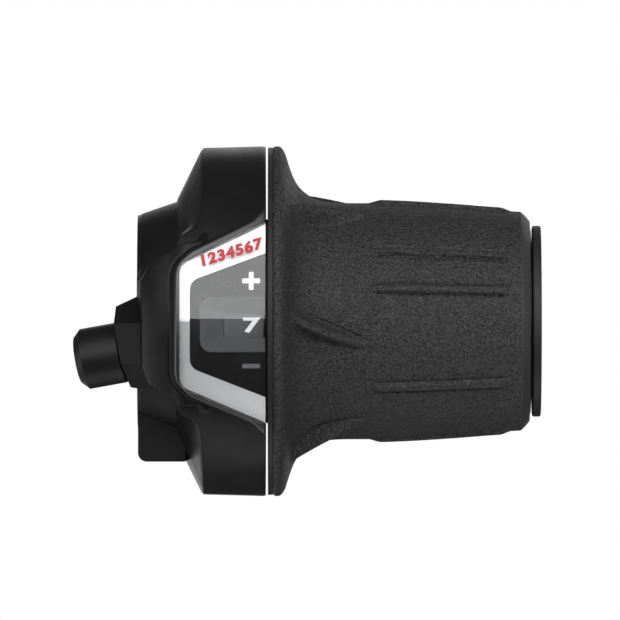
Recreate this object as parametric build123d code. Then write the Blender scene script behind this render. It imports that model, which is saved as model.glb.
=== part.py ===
from build123d import *
import math
import os

# Right-hand seven-speed twist-grip shifter for a 22.2 mm handlebar.
# Millimetres. The origin is on the handlebar's axis, in the plane of the clamp bolt.
# +X runs outboard along the bar, -Y faces the rider (the indicator window), +Z is up.

os.makedirs("parts", exist_ok=True)

# ---- handlebar bore and the fixed sleeve that the grip turns on -------------------------
BAR_BORE_R = 11.15
SLEEVE_R = 12.0
RUNNING_GAP = 0.05
SLEEVE_END_X = 59.7
SLEEVE_LIP_R = 12.35
SLEEVE_LIP_X = 59.1

# ---- clamp collar, lug and bolt ---------------------------------------------------------
COLLAR_X = -3.5
COLLAR_R = 16.9
COLLAR_CHAMFER = 0.6
WEB_X0 = 2.6
WEB_X1 = 4.4
WEB_R = 18.8
LUG_Z = -22.0
LUG_END_X = 3.9
LUG_HALF_Y = 8.5
LUG_CORNER_R = 1.4
SLIT_WIDTH = 1.4
SLIT_DEPTH = 26.0
BOLT_Z = -17.0
BOLT_R = 2.0
BOLT_HOLE_R = 2.2
BOLT_HEAD_R = 3.5
BOLT_HEAD_H = 4.0
BOLT_SOCKET_FLATS = 3.0
BOLT_SOCKET_DEPTH = 2.2
BOLT_HEAD_CHAMFER = 0.4
BOLT_HEAD_ROOM = 0.2
NUT_SIZE = 7.0
NUT_THICK = 2.4
NUT_Y = -6.6
THRUST_R = 14.5

# ---- drum shell -------------------------------------------------------------------------
WALL = 1.8
CONE_END_X = 6.7
DRUM_R0 = 27.2
DRUM_END_X = 16.5
DRUM_R1 = 27.5
PARTING_Y = 2.0

# ---- bulge that carries the window: its faces curve about an axis parallel to the bar ---
POD_AXIS_Y = 5.4
POD_EDGE_X = -3.4
POD_EDGE_R = 29.3
POD_SIDE_X = -1.75
POD_SIDE_R = 30.8
POD_RISE_X = 1.5
POD_RISE_R = 32.2
POD_FACE_X = 4.5
POD_FACE_R = 33.2
BEZEL_R = 34.2
POD_WALL = 1.7
LENS_R = 33.9
LENS_THICK = 1.0
FRAME_R = 32.8
FRAME_THICK = 0.6
PLATE_R = 32.7
PLATE_BACK_R = 29.9
LEDGE = 0.8
WINDOW_CORNER_R = 2.4
PLATE_CORNER_R = 1.9
SEAT_GAP = 0.05

# ---- rotating parts ---------------------------------------------------------------------
CORE_X0 = 9.0
CORE_X1 = 58.1
CORE_R = 14.4
FLANGE_X0 = 16.85
FLANGE_X1 = 17.6
FLANGE_R = 27.3
DIAL_X0 = 9.4
DIAL_X1 = 16.2
DIAL_R = 24.5
DIAL_WALL = 1.2
DIAL_HUB_R = 16.0
DIAL_HUB_X0 = 12.2
KEY_COUNT = 3
KEY_R = 15.1
KEY_DEG = 16.0
INDEX_X0 = 9.6
INDEX_X1 = 11.6
INDEX_R = 16.5
NOTCH_DEPTH = 0.6
GEARS = 7
CLICK_DEG = 12.0
PULL_PER_CLICK = 2.9
SPOOL_X0 = 5.2
SPOOL_SIDE = 0.7
SPOOL_FLANGE_R = 15.2
CABLE_R = 0.6
SPOOL_GROOVE_R = PULL_PER_CLICK / math.radians(CLICK_DEG) - CABLE_R
GROOVE_X = 7.1
GROOVE_HALF = 0.8
GROOVE_FLARE = 0.25
NIPPLE_ANGLE = 294.0
NIPPLE_BOSS_R = 17.2
NIPPLE_HALF_DEG = 9.0
NIPPLE_R = 2.15
NIPPLE_CENTRE_R = 14.75
DOG_X1 = 11.0
DOG_R = 13.4
DOG_DEG = 30.0
STOP_GAP_DEG = 0.6
STOP_DEG = 8.0
STOP_R0 = 15.7
STOP_R1 = 18.0
STOP_X1 = 8.0

# ---- rubber grip: outline from the flange to the outboard end ---------------------------
GRIP_RIM_R = 27.5
GRIP_THROAT = [(19.2, 27.1), (20.3, 24.3), (21.3, 22.1), (23.6, 20.2), (26.9, 18.85), (30.6, 18.55)]
GRIP_RIM_X = 18.3
GRIP_BACK_X = 17.75
GRIP_END_X = 57.95
GRIP_TAPER_X = 56.5
GRIP_TAPER_R = 17.2
GRIP_END_R = 15.7
RIB_X0 = 33.0
RIB_X1 = 55.6
RIB_WIDTH = 1.1
RIB_HEIGHT = 0.55
RIB_FADE0 = 2.5
RIB_FADE1 = 2.0
RIB_ROOT_R = 17.5
RIB_TIP_R = 16.8
RIB_PAIR_CENTRE = 26.0
RIB_PAIR_HALF = 10.0
RIB_PATTERN_DEG = 120.0
FIN_X0 = 20.3
FIN_CREST0 = 23.6
FIN_SPREAD0 = 36.0
FIN_WIDTH0 = 2.2
FIN_X1 = 33.0
FIN_CREST1 = 18.6
FIN_SPREAD1 = 21.5
FIN_WIDTH1 = 0.4
FIN_DEPTH = 3.6

# ---- end washer -------------------------------------------------------------------------
WASHER_X0 = 58.3
WASHER_R = 15.0
WASHER_ROUND = 0.35

# ---- cable adjuster: an axis that leans down and back as it leaves the housing ----------
ADJUSTER_MOUTH = (-5.6, -18.24, -4.79)
ADJUSTER_LEAN_Y = 0.1405
ADJUSTER_LEAN_Z = -0.1817
ADJUSTER_R = 4.75
ADJUSTER_GAP = 0.15
ADJUSTER_LENGTH = 7.3
ADJUSTER_CHAMFER = 1.1
SOCKET_R = 2.55
SOCKET_DEPTH = 6.0
STEM_R = 2.45
STEM_BORE_R = 0.9
STEM_LENGTH = 7.6
STEM_HEAD_R = 3.2
INSERT_R = 3.2
INSERT_BORE_R = 2.5
INSERT_LENGTH = 3.6
KEYED_BORE_R = 3.6
KEYED_DEPTH = 3.3
KEYED_CUP_R = 3.45
KEYED_CUP_WALL = 0.35
KEYED_CUP_TOP = 0.8
KEY_WIDTH = 1.2
KEY_REACH = 4.0
SPRING_WIRE_R = 0.13
SPRING_COIL_R = 2.78
SPRING_TURNS = 4

# ---- outlet boss around the adjuster: six-sided, taller where it meets the collar --------
BOSS_CENTRE = (-18.0, -3.5)
BOSS_SIDE = 6.3
BOSS_END_X = -9.0
BOSS_END_Z = (1.3, -9.5)
BOSS_ROOT_X = -3.5
BOSS_ROOT_Z = (3.9, -10.5)

# ---- cable elbow from the adjuster down onto the spool -----------------------------------
ELBOW_R = 1.7
ELBOW_BORE_R = 0.9

# ---- cover screws -------------------------------------------------------------------------
SCREW_X = 6.9
SCREW_Z = 20.5
POST_R = 2.2
SCREW_HOLE_R = 1.2
SCREW_R = 1.1
SCREW_HEAD_R = 1.9
SCREW_HEAD_H = 1.4
SCREW_SEAT_Y = 12.0
SCREW_CROSS = (2.2, 1.6, 0.55)
SCREW_TIP_Y = -5.0
COVER_POST_Y = -7.0

# ---- detent spring ------------------------------------------------------------------------
DETENT_POST_Y = 18.9
DETENT_POST_Z = 9.0
DETENT_POST_R = 0.9
DETENT_POST_X1 = 11.8
STRIP_THICK = 0.4
STRIP_TIP_GAP = 0.15
STRIP_POST_GAP = 0.03
STRIP_END_Z = 1.8
STRIP_KNEE_Z = 4.0
STRIP_TIP_Z = 0.9

# ---- allowances for cutting and joining solids: past every outline, and into a neighbour ----
BIG = 120.0
CLEAR = 20.0
BITE = 0.5


# ---- shared shapes ------------------------------------------------------------------------
def section(x):
    """A plane across the bar at x; its own axes are the object's Y and Z."""
    return Plane(origin=(x, 0, 0), x_dir=(0, 1, 0), z_dir=(1, 0, 0))


def tube(x0, x1, inner_r, outer_r):
    """A round tube on the bar's axis."""
    ring = Circle(outer_r)
    if inner_r > 0:
        ring = ring - Circle(inner_r)
    return extrude(section(x0) * ring, x1 - x0)


def turned(outline):
    """A solid turned about the bar's axis from a closed outline of (x, radius) points."""
    return revolve(make_face(Polyline(*outline, close=True)), axis=Axis.X)


def sector(x0, x1, inner_r, outer_r, centre_deg, width_deg):
    """A piece of ring about the bar's axis; angles run from +Y towards +Z."""
    low = math.radians(centre_deg - width_deg / 2)
    high = math.radians(centre_deg + width_deg / 2)
    reach = 2 * outer_r
    wedge = make_face(Polyline(
        (0, 0),
        (reach * math.cos(low), reach * math.sin(low)),
        (reach * math.cos(high), reach * math.sin(high)),
        close=True))
    ring = Circle(outer_r) - Circle(inner_r)
    return extrude(section(x0) * (ring & wedge), x1 - x0)


def front_prism(outline, corner_r=0.0, rounded=2, margin=0.0):
    """A prism towards the rider from an outline of (x, z) points; its inboard corners are rounded."""
    face = make_face(Polyline(*outline, close=True))
    if corner_r > 0:
        corners = face.vertices().sort_by(Axis.X)[:rounded]
        face = fillet(corners, corner_r)
    if margin != 0:
        face = offset(face, amount=margin, kind=Kind.INTERSECTION)
    return extrude(Plane.XZ * face, BIG / 2)


def pod_round(radius, x0=-40.0, x1=DRUM_END_X):
    """A full cylinder about the pod's own axis, which is behind the bar's axis."""
    return Pos(0, POD_AXIS_Y, 0) * tube(x0, x1, 0, radius)


def half_space(y0, towards_back):
    """Everything behind (or in front of) the plane y = y0."""
    side = 1 if towards_back else -1
    return Pos(0, y0 + side * BIG / 2, 0) * Box(2 * BIG, BIG, 2 * BIG)


def write(node, solid):
    """Write one named sub-part."""
    export_step(solid, f"parts/{node}.step")


# ---- adjuster frame ------------------------------------------------------------------------
out_length = math.sqrt(1 + ADJUSTER_LEAN_Y ** 2 + ADJUSTER_LEAN_Z ** 2)
ADJUSTER_OUT = (-1 / out_length, ADJUSTER_LEAN_Y / out_length, ADJUSTER_LEAN_Z / out_length)
adjuster_plane = Plane(origin=ADJUSTER_MOUTH, x_dir=(0, 0, 1), z_dir=ADJUSTER_OUT)


def adjuster_round(start, end, radius):
    """A cylinder on the adjuster's axis, measured outwards from the boss's face."""
    return extrude(adjuster_plane.offset(start) * Circle(radius), end - start)


def adjuster_axis_point(x):
    """The point of the adjuster's axis at x."""
    step = ADJUSTER_MOUTH[0] - x
    return (x, ADJUSTER_MOUTH[1] + step * ADJUSTER_LEAN_Y, ADJUSTER_MOUTH[2] + step * ADJUSTER_LEAN_Z)


# ---- outlines -------------------------------------------------------------------------------
CUT_END_X = DRUM_END_X + 4.0
POD_TOP = [
    (POD_EDGE_X, 6.9), (-2.6, 8.9), (-1.4, 10.1), (1.1, 11.7), (2.6, 13.1), (6.7, 13.3),
    (8.0, 12.6), (14.2, 15.5), (DRUM_END_X, 17.5), (CUT_END_X, 18.5)]
POD_BOTTOM = [
    (CUT_END_X, -19.0), (DRUM_END_X, -18.0), (13.6, -15.5), (8.0, -13.2), (6.7, -14.2),
    (2.9, -14.3), (2.2, -13.0), (0.4, -12.1), (-2.1, -10.5), (POD_EDGE_X, -7.6)]
BEZEL_OUTLINE = [
    (1.75, 8.6), (4.0, 11.0), (14.2, 15.9), (DRUM_END_X, 18.0),
    (DRUM_END_X, -18.5), (13.6, -15.9), (4.0, -11.8), (1.75, -9.2)]


def fan(left_x, top_z, bottom_z, top_slope, bottom_slope, end_x=DRUM_END_X):
    """A four-sided outline that opens towards +X."""
    run = end_x - left_x
    return [(left_x, top_z), (end_x, top_z + run * top_slope),
            (end_x, bottom_z - run * bottom_slope), (left_x, bottom_z)]


WINDOW = (2.83, 9.3, -10.6, 0.492, 0.449)
PLATE = (4.75, 6.2, -7.15, 0.366, 0.387)
POCKET_MOUTH = [(5.17, 4.44), (DRUM_END_X + 1, 4.44), (DRUM_END_X + 1, -5.49), (5.17, -5.49)]
POCKET_FLOOR = [(9.86, 1.29), (DRUM_END_X + 1, 1.29), (DRUM_END_X + 1, -2.64), (9.86, -2.64)]
POCKET_MOUTH_Y = -28.0
POCKET_FLOOR_Y = -24.5


SHELL_OUTSIDE = [(WEB_X0, WEB_R), (CONE_END_X, DRUM_R0), (DRUM_END_X, DRUM_R1)]
SHELL_INSIDE = [(DRUM_END_X, DRUM_R1 - WALL), (CONE_END_X + 1.1, DRUM_R0 - WALL), (WEB_X1, WEB_R)]


def boss_section(x, heights):
    """The boss's six-sided outline at x, with its top and bottom corners at the given heights."""
    y, z = BOSS_CENTRE
    top, bottom = heights
    reach = BOSS_SIDE * math.sqrt(3) / 2
    half = BOSS_SIDE / 2
    corners = [
        (y, top), (y + reach, z + half), (y + reach, z - half),
        (y, bottom), (y - reach, z - half), (y - reach, z + half)]
    return section(x) * make_face(Polyline(*corners, close=True))


def outlet_boss():
    """The six-sided cable outlet, cut square to the adjuster."""
    root = boss_section(BOSS_ROOT_X, BOSS_ROOT_Z)
    neck = loft([boss_section(BOSS_END_X, BOSS_END_Z), root], ruled=True)
    return (neck + extrude(root, WEB_X1 - BOSS_ROOT_X)) - adjuster_round(0, CLEAR, CLEAR)


def drum_shell():
    """The cone and drum, all the way round."""
    return turned(SHELL_OUTSIDE + SHELL_INSIDE)


def stop_angles():
    """Where the two end stops stand, either side of the nipple boss's travel."""
    margin = NIPPLE_HALF_DEG + STOP_DEG / 2 + STOP_GAP_DEG
    travel = (GEARS - 1) * CLICK_DEG
    return [NIPPLE_ANGLE - margin, NIPPLE_ANGLE + travel + margin]


def cross_cylinder(x, z, y0, y1, radius):
    """A cylinder that lies along Y."""
    return Pos(x, (y0 + y1) / 2, z) * Rot(90, 0, 0) * Cylinder(radius, abs(y1 - y0))


# ---- fixed parts ------------------------------------------------------------------------------
def make_main_housing():
    collar = turned([
        (COLLAR_X, 0), (COLLAR_X, COLLAR_R - COLLAR_CHAMFER), (COLLAR_X + COLLAR_CHAMFER, COLLAR_R),
        (WEB_X0, WEB_R), (WEB_X1, WEB_R), (WEB_X1, 0)])
    lug_face = make_face(Polyline(
        (COLLAR_X, -8), (COLLAR_X, LUG_Z), (LUG_END_X, LUG_Z), (LUG_END_X, -8), close=True))
    lug_corner = lug_face.vertices().sort_by(Axis.X)[:2].sort_by(Axis.Y)[:1]
    lug_face = fillet(lug_corner, LUG_CORNER_R)
    lug = extrude(Plane.XZ * lug_face, LUG_HALF_Y, both=True)
    back_shell = drum_shell() & half_space(PARTING_Y, True)
    sleeve = tube(WEB_X1, SLEEVE_END_X, BAR_BORE_R, SLEEVE_R)
    lip = turned([
        (SLEEVE_LIP_X, BAR_BORE_R), (SLEEVE_LIP_X, SLEEVE_LIP_R),
        (SLEEVE_END_X, SLEEVE_R), (SLEEVE_END_X, BAR_BORE_R)])
    housing = collar + lug + back_shell + sleeve + lip + outlet_boss()
    inside_drum = turned([(WEB_X1, 0)] + SHELL_INSIDE[::-1] + [(DRUM_END_X, 0)]) - tube(0, BIG, 0, SLEEVE_R)
    housing -= inside_drum & tube(WEB_X1, DRUM_END_X, SLEEVE_R, BIG / 2)
    for z in (SCREW_Z, -SCREW_Z):
        housing += cross_cylinder(SCREW_X, z, PARTING_Y, SCREW_SEAT_Y, POST_R)
    for angle in stop_angles():
        housing += sector(WEB_X1 - BITE, STOP_X1, STOP_R0, STOP_R1, angle, STOP_DEG)
    for z in (DETENT_POST_Z, -DETENT_POST_Z):
        post = section(WEB_X1 - BITE) * Pos(DETENT_POST_Y, z) * Circle(DETENT_POST_R)
        housing += extrude(post, DETENT_POST_X1 - WEB_X1 + BITE)
    # bore, slit and bolt
    housing -= tube(COLLAR_X - 1, SLEEVE_END_X + 1, 0, BAR_BORE_R)
    slit_length = WEB_X1 - COLLAR_X + 2
    slit = Box(slit_length, SLIT_WIDTH, SLIT_DEPTH, align=(Align.MAX, Align.CENTER, Align.MAX))
    housing -= Pos(WEB_X1 + 0.1, 0, 0) * slit
    housing += tube(WEB_X1, WEB_X1 + 0.8, BAR_BORE_R, SLEEVE_R)
    housing -= cross_cylinder(0, BOLT_Z, NUT_Y - 0.8, LUG_HALF_Y + 1, BOLT_HOLE_R)
    housing -= cross_cylinder(0, BOLT_Z, LUG_HALF_Y, LUG_HALF_Y + CLEAR, BOLT_HEAD_R + BOLT_HEAD_ROOM)
    pocket_start = COLLAR_X - 1
    pocket_end = NUT_SIZE / 2 + 0.05
    pocket = Pos((pocket_start + pocket_end) / 2, NUT_Y + NUT_THICK / 2, BOLT_Z)
    housing -= pocket * Box(pocket_end - pocket_start, NUT_THICK + 0.1, NUT_SIZE + 0.1)
    # cable way
    housing -= adjuster_round(-KEYED_DEPTH, 1, KEYED_BORE_R)
    housing -= adjuster_round(-KEYED_DEPTH - INSERT_LENGTH, 1, INSERT_R)
    housing -= adjuster_round(-STEM_LENGTH - 0.3, 1, STEM_R + RUNNING_GAP)
    housing -= adjuster_round(-10.0, 1, ELBOW_BORE_R)
    elbow_seat = adjuster_axis_point(WEB_X1)
    housing -= extrude(section(WEB_X0) * Pos(elbow_seat[1], elbow_seat[2]) * Circle(ELBOW_R), 8)
    key_way = Rectangle(KEY_REACH + 0.1, KEY_WIDTH + 0.1, align=(Align.MIN, Align.CENTER))
    housing -= extrude(adjuster_plane.offset(-KEYED_DEPTH) * key_way, KEYED_DEPTH + 1)
    # screws
    for z in (SCREW_Z, -SCREW_Z):
        housing -= cross_cylinder(SCREW_X, z, PARTING_Y - 1, SCREW_SEAT_Y + 1, SCREW_HOLE_R)
        housing -= cross_cylinder(SCREW_X, z, SCREW_SEAT_Y, BIG / 4, SCREW_HEAD_R + 0.2)
    return housing


def make_front_cover(housing):
    pod_profile = [
        (POD_EDGE_X, 0), (POD_EDGE_X, POD_EDGE_R), (POD_SIDE_X, POD_SIDE_R), (POD_RISE_X, POD_RISE_R),
        (POD_FACE_X, POD_FACE_R), (DRUM_END_X, POD_FACE_R), (DRUM_END_X, 0)]
    hollow_profile = [
        (POD_EDGE_X + POD_WALL, 0), (POD_EDGE_X + POD_WALL, POD_SIDE_R - POD_WALL),
        (POD_RISE_X, POD_RISE_R - POD_WALL), (POD_FACE_X, POD_FACE_R - POD_WALL),
        (CUT_END_X, POD_FACE_R - POD_WALL), (CUT_END_X, 0)]
    outline = POD_TOP + POD_BOTTOM
    pod_axis = Pos(0, POD_AXIS_Y, 0)
    pod = front_prism(outline) & (pod_axis * turned(pod_profile))
    pod += front_prism(BEZEL_OUTLINE) & pod_round(BEZEL_R, x0=0)
    pod -= front_prism(outline, margin=-POD_WALL) & (pod_axis * turned(hollow_profile))
    pod -= tube(WEB_X1, CUT_END_X, 0, WEB_R)
    pod -= turned([(WEB_X1, 0)] + SHELL_INSIDE[::-1] + [(CUT_END_X, DRUM_R1 - WALL), (CUT_END_X, 0)])
    cover = (drum_shell() & half_space(PARTING_Y, False)) + pod
    for z in (SCREW_Z, -SCREW_Z):
        post = cross_cylinder(SCREW_X, z, COVER_POST_Y, PARTING_Y, POST_R)
        cover += post - cross_cylinder(SCREW_X, z, SCREW_TIP_Y, PARTING_Y, SCREW_R)
    cover -= front_prism(fan(*WINDOW, end_x=CUT_END_X), WINDOW_CORNER_R, margin=-LEDGE)
    opening = front_prism(fan(*WINDOW, end_x=CUT_END_X), WINDOW_CORNER_R, margin=SEAT_GAP)
    cover -= opening - pod_round(FRAME_R - FRAME_THICK, x1=CUT_END_X + 1)
    collar_room = turned([
        (COLLAR_X - 1, 0), (COLLAR_X - 1, COLLAR_R + SEAT_GAP),
        (COLLAR_X + COLLAR_CHAMFER, COLLAR_R + SEAT_GAP), (WEB_X0, WEB_R + SEAT_GAP), (WEB_X0, 0)])
    cover -= collar_room
    cover -= housing
    return cover.solids().sort_by(SortBy.VOLUME)[-1]


def make_lens():
    return (front_prism(fan(*WINDOW), WINDOW_CORNER_R)
            & (pod_round(LENS_R, x0=0) - pod_round(LENS_R - LENS_THICK, x0=-1)))


def make_indicator_frame():
    inner = front_prism(fan(*PLATE, end_x=CUT_END_X), PLATE_CORNER_R, margin=0.02)
    ring = front_prism(fan(*WINDOW), WINDOW_CORNER_R) - inner
    return ring & (pod_round(FRAME_R, x0=0) - pod_round(FRAME_R - FRAME_THICK, x0=-1))


def make_indicator_plate():
    shell = pod_round(PLATE_R, x0=0) - pod_round(PLATE_BACK_R, x0=-1)
    plate = front_prism(fan(*PLATE), PLATE_CORNER_R) & shell
    plate -= tube(0, BIG, 0, DIAL_R + 0.4)
    mouth = make_face(Polyline(*POCKET_MOUTH, close=True))
    floor = make_face(Polyline(*POCKET_FLOOR, close=True))
    mouth_plane = Plane(origin=(0, POCKET_MOUTH_Y, 0), x_dir=(1, 0, 0), z_dir=(0, -1, 0))
    floor_plane = Plane(origin=(0, POCKET_FLOOR_Y, 0), x_dir=(1, 0, 0), z_dir=(0, -1, 0))
    plate -= loft([mouth_plane * mouth.face(), floor_plane * floor.face()], ruled=True)
    return plate.solids().sort_by(SortBy.VOLUME)[-1]


def make_thrust_washer():
    return tube(WEB_X1, SPOOL_X0 - 0.1, SLEEVE_R, THRUST_R)


def make_end_washer():
    washer = tube(WASHER_X0, SLEEVE_END_X, SLEEVE_R, WASHER_R)
    rim = washer.edges().filter_by(GeomType.CIRCLE).sort_by(SortBy.RADIUS)[-2:]
    washer = fillet(rim, WASHER_ROUND)
    return washer - tube(SLEEVE_LIP_X - 0.05, SLEEVE_END_X + 1, 0, SLEEVE_LIP_R + 0.05)


def make_detent_spring():
    inner = DETENT_POST_Y - DETENT_POST_R - STRIP_THICK / 2 - STRIP_POST_GAP
    tip = INDEX_R + STRIP_TIP_GAP + STRIP_THICK / 2
    z = DETENT_POST_Z
    line = Polyline(
        (inner + 0.5, -z - STRIP_END_Z), (inner, -z), (inner + 0.3, -STRIP_KNEE_Z), (tip + 0.2, -STRIP_TIP_Z),
        (tip, 0),
        (tip + 0.2, STRIP_TIP_Z), (inner + 0.3, STRIP_KNEE_Z), (inner, z), (inner + 0.5, z + STRIP_END_Z))
    return extrude(section(INDEX_X0 + 0.2) * trace(line, STRIP_THICK), INDEX_X1 - INDEX_X0 - 0.4)


def make_clamp_bolt():
    bolt = cross_cylinder(0, BOLT_Z, NUT_Y - 0.6, LUG_HALF_Y, BOLT_R)
    bolt += cross_cylinder(0, BOLT_Z, LUG_HALF_Y, LUG_HALF_Y + BOLT_HEAD_H, BOLT_HEAD_R)
    rim = bolt.edges().filter_by(GeomType.CIRCLE).sort_by(Axis.Y)[-1:]
    bolt = chamfer(rim, BOLT_HEAD_CHAMFER)
    socket_plane = Plane(origin=(0, LUG_HALF_Y + BOLT_HEAD_H, BOLT_Z), x_dir=(1, 0, 0), z_dir=(0, 1, 0))
    socket = RegularPolygon(BOLT_SOCKET_FLATS / 2, 6, major_radius=False)
    return bolt - extrude(socket_plane * socket, -BOLT_SOCKET_DEPTH)


def make_clamp_nut():
    nut = Pos(0, NUT_Y + NUT_THICK / 2, BOLT_Z) * Box(NUT_SIZE, NUT_THICK, NUT_SIZE)
    return nut - cross_cylinder(0, BOLT_Z, NUT_Y - 1, NUT_Y + NUT_THICK + 1, BOLT_R)


def make_cover_screw(z):
    screw = cross_cylinder(SCREW_X, z, SCREW_TIP_Y, SCREW_SEAT_Y, SCREW_R)
    screw += cross_cylinder(SCREW_X, z, SCREW_SEAT_Y, SCREW_SEAT_Y + SCREW_HEAD_H, SCREW_HEAD_R)
    length, depth, width = SCREW_CROSS
    recess = Box(length, depth, width) + Box(width, depth, length)
    return screw - Pos(SCREW_X, SCREW_SEAT_Y + SCREW_HEAD_H, z) * recess


def make_cable_elbow():
    """A bent tube that turns the cable from the adjuster's axis onto the spool's tangent."""
    start = adjuster_axis_point(WEB_X1)
    reach = math.hypot(start[1], start[2])
    wrap_r = SPOOL_GROOVE_R + CABLE_R
    lean = math.asin(wrap_r / reach)
    inward = math.atan2(-start[2], -start[1]) - lean
    run = (math.cos(inward), math.sin(inward))
    bend = GROOVE_X - WEB_X1
    centre_line = Line((WEB_X0, start[1], start[2]), (WEB_X1, start[1], start[2]))
    turn = ThreePointArc(
        (WEB_X1, start[1], start[2]),
        (WEB_X1 + bend * math.sin(math.pi / 4),
         start[1] + run[0] * bend * (1 - math.cos(math.pi / 4)),
         start[2] + run[1] * bend * (1 - math.cos(math.pi / 4))),
        (WEB_X1 + bend, start[1] + run[0] * bend, start[2] + run[1] * bend))
    path = Wire([centre_line.edge(), turn.edge()])
    start_plane = Plane(origin=(WEB_X0, start[1], start[2]), x_dir=(0, 1, 0), z_dir=(1, 0, 0))
    return sweep(start_plane * (Circle(ELBOW_R) - Circle(ELBOW_BORE_R)), path=path)


# ---- turning parts ------------------------------------------------------------------------------
def key_angles():
    return [90 + index * 360 / KEY_COUNT for index in range(KEY_COUNT)]


def make_rotor_core():
    core = tube(CORE_X0, CORE_X1, SLEEVE_R + RUNNING_GAP, CORE_R)
    core += tube(FLANGE_X0, FLANGE_X1, CORE_R - BITE, FLANGE_R)
    for angle in key_angles():
        core += sector(DIAL_HUB_X0, FLANGE_X0, CORE_R - BITE, KEY_R, angle, KEY_DEG)
        core -= sector(CORE_X0 - 1, DOG_X1 + 0.05, SLEEVE_R - 1, DOG_R + 0.05, angle, DOG_DEG + 0.5)
    return core


def make_gear_dial():
    dial = tube(DIAL_X0, DIAL_X1, DIAL_R - DIAL_WALL, DIAL_R)
    dial += tube(DIAL_X1 - DIAL_WALL, DIAL_X1, DIAL_HUB_R - BITE, DIAL_R)
    dial += tube(DIAL_HUB_X0, FLANGE_X0, CORE_R, DIAL_HUB_R)
    for angle in key_angles():
        dial -= sector(DIAL_HUB_X0 - 1, FLANGE_X0 + 1, CORE_R - 1, KEY_R, angle, KEY_DEG)
    return dial


def make_index_ring():
    ring = tube(INDEX_X0, INDEX_X1, CORE_R, INDEX_R)
    notch = RegularPolygon(NOTCH_DEPTH * 1.6, 4)
    for gear in range(GEARS):
        angle = -gear * CLICK_DEG
        place = Rot(angle, 0, 0) * section(INDEX_X0 - 1) * Pos(INDEX_R + NOTCH_DEPTH * 0.6, 0)
        ring -= extrude(place * notch, INDEX_X1 - INDEX_X0 + 2)
    return ring


def make_cable_spool():
    bore = SLEEVE_R + RUNNING_GAP
    low = GROOVE_X - GROOVE_HALF
    high = GROOVE_X + GROOVE_HALF
    boss = sector(SPOOL_X0, CORE_X0, bore, NIPPLE_BOSS_R, NIPPLE_ANGLE, 2 * NIPPLE_HALF_DEG)
    spool = tube(SPOOL_X0, CORE_X0, bore, SPOOL_FLANGE_R) + boss
    spool -= turned([
        (low - GROOVE_FLARE, NIPPLE_BOSS_R + 1), (low, SPOOL_GROOVE_R), (high, SPOOL_GROOVE_R),
        (high + GROOVE_FLARE, NIPPLE_BOSS_R + 1)])
    angle = math.radians(NIPPLE_ANGLE)
    nipple = Pos(NIPPLE_CENTRE_R * math.cos(angle), NIPPLE_CENTRE_R * math.sin(angle)) * Circle(NIPPLE_R)
    spool -= extrude(section(SPOOL_X0 + SPOOL_SIDE) * nipple, CORE_X0)
    for angle in key_angles():
        spool += sector(CORE_X0 - BITE, DOG_X1, bore, DOG_R, angle, DOG_DEG)
    return spool


def rib_angles():
    """Pairs of ribs and single ribs in turn; angles are elevations above the rider's side."""
    angles = []
    for index in range(int(360 / RIB_PATTERN_DEG)):
        pair = RIB_PAIR_CENTRE + index * RIB_PATTERN_DEG
        angles += [pair - RIB_PAIR_HALF, pair + RIB_PAIR_HALF, pair + RIB_PATTERN_DEG / 2]
    return angles


def grip_rib(elevation):
    """A low rib that fades into the grip at both ends."""
    profile = make_face(Polyline(
        (RIB_X0, RIB_ROOT_R), (RIB_X0 + RIB_FADE0, GRIP_THROAT[-1][1] + RIB_HEIGHT),
        (RIB_X1 - RIB_FADE1, GRIP_TAPER_R + RIB_HEIGHT), (RIB_X1, RIB_TIP_R), close=True))
    rib = extrude(profile, RIB_WIDTH / 2, both=True)
    return Rot(180 - elevation, 0, 0) * rib


def fin_section(x, crest, elevation, width):
    """A gusset's upright oblong at x, with its top at the crest radius."""
    angle = math.radians(elevation)
    middle = crest - FIN_DEPTH / 2
    place = Pos(-middle * math.cos(angle), middle * math.sin(angle)) * Rot(0, 0, 180 - elevation)
    return section(x) * place * Rectangle(FIN_DEPTH, width)


def grip_fin(elevation, side):
    """A gusset that runs from the flange down to the grip, leaning towards a single rib."""
    root = fin_section(FIN_X0, FIN_CREST0, elevation + side * FIN_SPREAD0, FIN_WIDTH0)
    tip = fin_section(FIN_X1, FIN_CREST1, elevation + side * FIN_SPREAD1, FIN_WIDTH1)
    return loft([root, tip], ruled=True)


def make_grip_rubber():
    top = Polyline((GRIP_BACK_X, CORE_R), (GRIP_BACK_X, GRIP_RIM_R), (GRIP_RIM_X, GRIP_RIM_R))
    throat = Spline((GRIP_RIM_X, GRIP_RIM_R), *GRIP_THROAT, tangents=[(1, 0), (1, 0)])
    tail = Polyline(
        GRIP_THROAT[-1], (GRIP_TAPER_X, GRIP_TAPER_R), (GRIP_END_X, GRIP_END_R),
        (GRIP_END_X, CORE_R), (GRIP_BACK_X, CORE_R))
    grip = revolve(make_face([top, throat, tail]), axis=Axis.X)
    for elevation in rib_angles():
        grip += grip_rib(elevation)
    for index in range(int(360 / RIB_PATTERN_DEG)):
        single = RIB_PAIR_CENTRE + (index + 0.5) * RIB_PATTERN_DEG
        grip += grip_fin(single, -1) + grip_fin(single, 1)
    back = tube(FLANGE_X1, FLANGE_X1 + 0.2, CORE_R, GRIP_RIM_R)
    return grip + back


# ---- adjuster parts --------------------------------------------------------------------------------
def make_adjuster_bolt():
    bolt = adjuster_round(-STEM_LENGTH, ADJUSTER_GAP, STEM_R)
    head = ADJUSTER_LENGTH - SOCKET_DEPTH - ADJUSTER_GAP
    hexagon = RegularPolygon(STEM_HEAD_R, 6)
    bolt += extrude(adjuster_plane.offset(ADJUSTER_GAP) * hexagon, head)
    return bolt - adjuster_round(-STEM_LENGTH - 1, ADJUSTER_LENGTH, STEM_BORE_R)


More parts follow.
